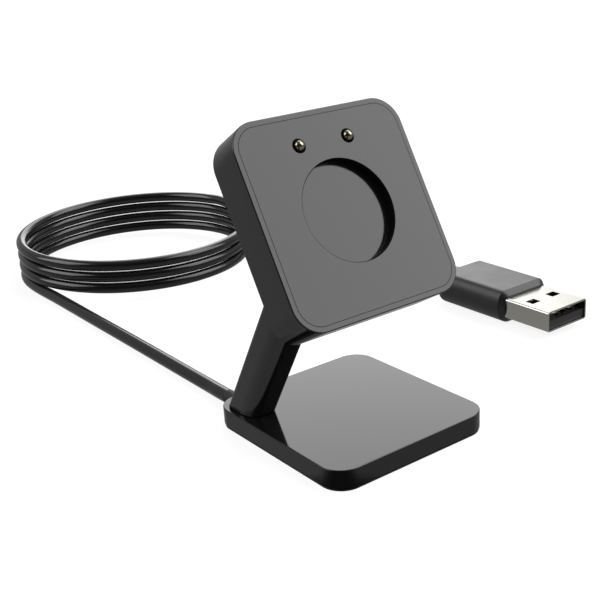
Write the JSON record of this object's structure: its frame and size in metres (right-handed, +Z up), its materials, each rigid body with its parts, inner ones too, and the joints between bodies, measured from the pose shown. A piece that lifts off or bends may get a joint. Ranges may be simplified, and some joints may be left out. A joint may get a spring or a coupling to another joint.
{
  "type": "fitness band charging stand with usb cable",
  "caption": "Desk charging stand: flat weighted base, leaning stem and tilted head with a sensor pocket and sprung contact pins, on a coiled cord with a flat USB plug.",
  "frame": {"origin": "on the surface the stand rests on, below the middle of the stand's box, measured without the cord, its gland and its plug", "axes": "+Z up; the head faces -Y and leans back; +X is to the right of someone facing the head, and the stem is on the left"},
  "size_m": [0.0843, 0.1592, 0.0552],
  "materials": {
    "housing": "dark grey ABS, fine satin",
    "cover": "dark grey ABS, satin face panel",
    "rubber": "black silicone, matt",
    "steel": "zinc plated steel",
    "board": "green solder mask",
    "gold": "gold plated brass, polished",
    "spring_steel": "drawn spring wire",
    "magnet": "nickel plated magnet",
    "wire_red": "red PVC insulation",
    "wire_black": "black PVC insulation",
    "cord": "dark grey PVC jacket, soft gloss",
    "grip": "dark grey overmoulded PVC, soft gloss",
    "shell": "nickel plated steel",
    "insulator": "black moulded insulator"
  },
  "bodies": {
    "stand": {"base_housing": "housing", "base_plate": "housing", "base_weight": "steel", "foot_pad": "rubber", "stem_and_head_housing": "housing", "front_cover": "cover", "circuit_board": "board", "pin_barrel_left": "gold", "pin_barrel_right": "gold", "pin_spring_left": "spring_steel", "pin_spring_right": "spring_steel", "magnet_1": "magnet", "magnet_2": "magnet", "magnet_3": "magnet", "magnet_4": "magnet", "wire_positive": "wire_red", "wire_negative": "wire_black", "stem_screw": "steel", "cord_gland": "rubber", "cord_run_stand": "cord", "cord_coil": "cord", "cord_run_plug": "cord", "plug_overmould": "grip", "plug_shell": "shell", "plug_tongue": "insulator", "plug_contact_1": "gold", "plug_contact_2": "gold", "plug_contact_3": "gold", "plug_contact_4": "gold"},
    "left_pin": {"pin_left": "gold"},
    "right_pin": {"pin_right": "gold"}
  },
  "joints": [
    {"name": "pin_left_press", "type": "slide", "parent": "stand", "child": "left_pin", "axis": [0, 0.8691, -0.4945], "range_m": [0, 0.0008], "stiffness_N_per_m": 300, "springref_m": -0.0004, "deforming": ["pin_spring_left"]},
    {"name": "pin_right_press", "type": "slide", "parent": "stand", "child": "right_pin", "axis": [0, 0.8691, -0.4945], "range_m": [0, 0.0008], "stiffness_N_per_m": 300, "springref_m": -0.0004, "deforming": ["pin_spring_right"]}
  ]
}
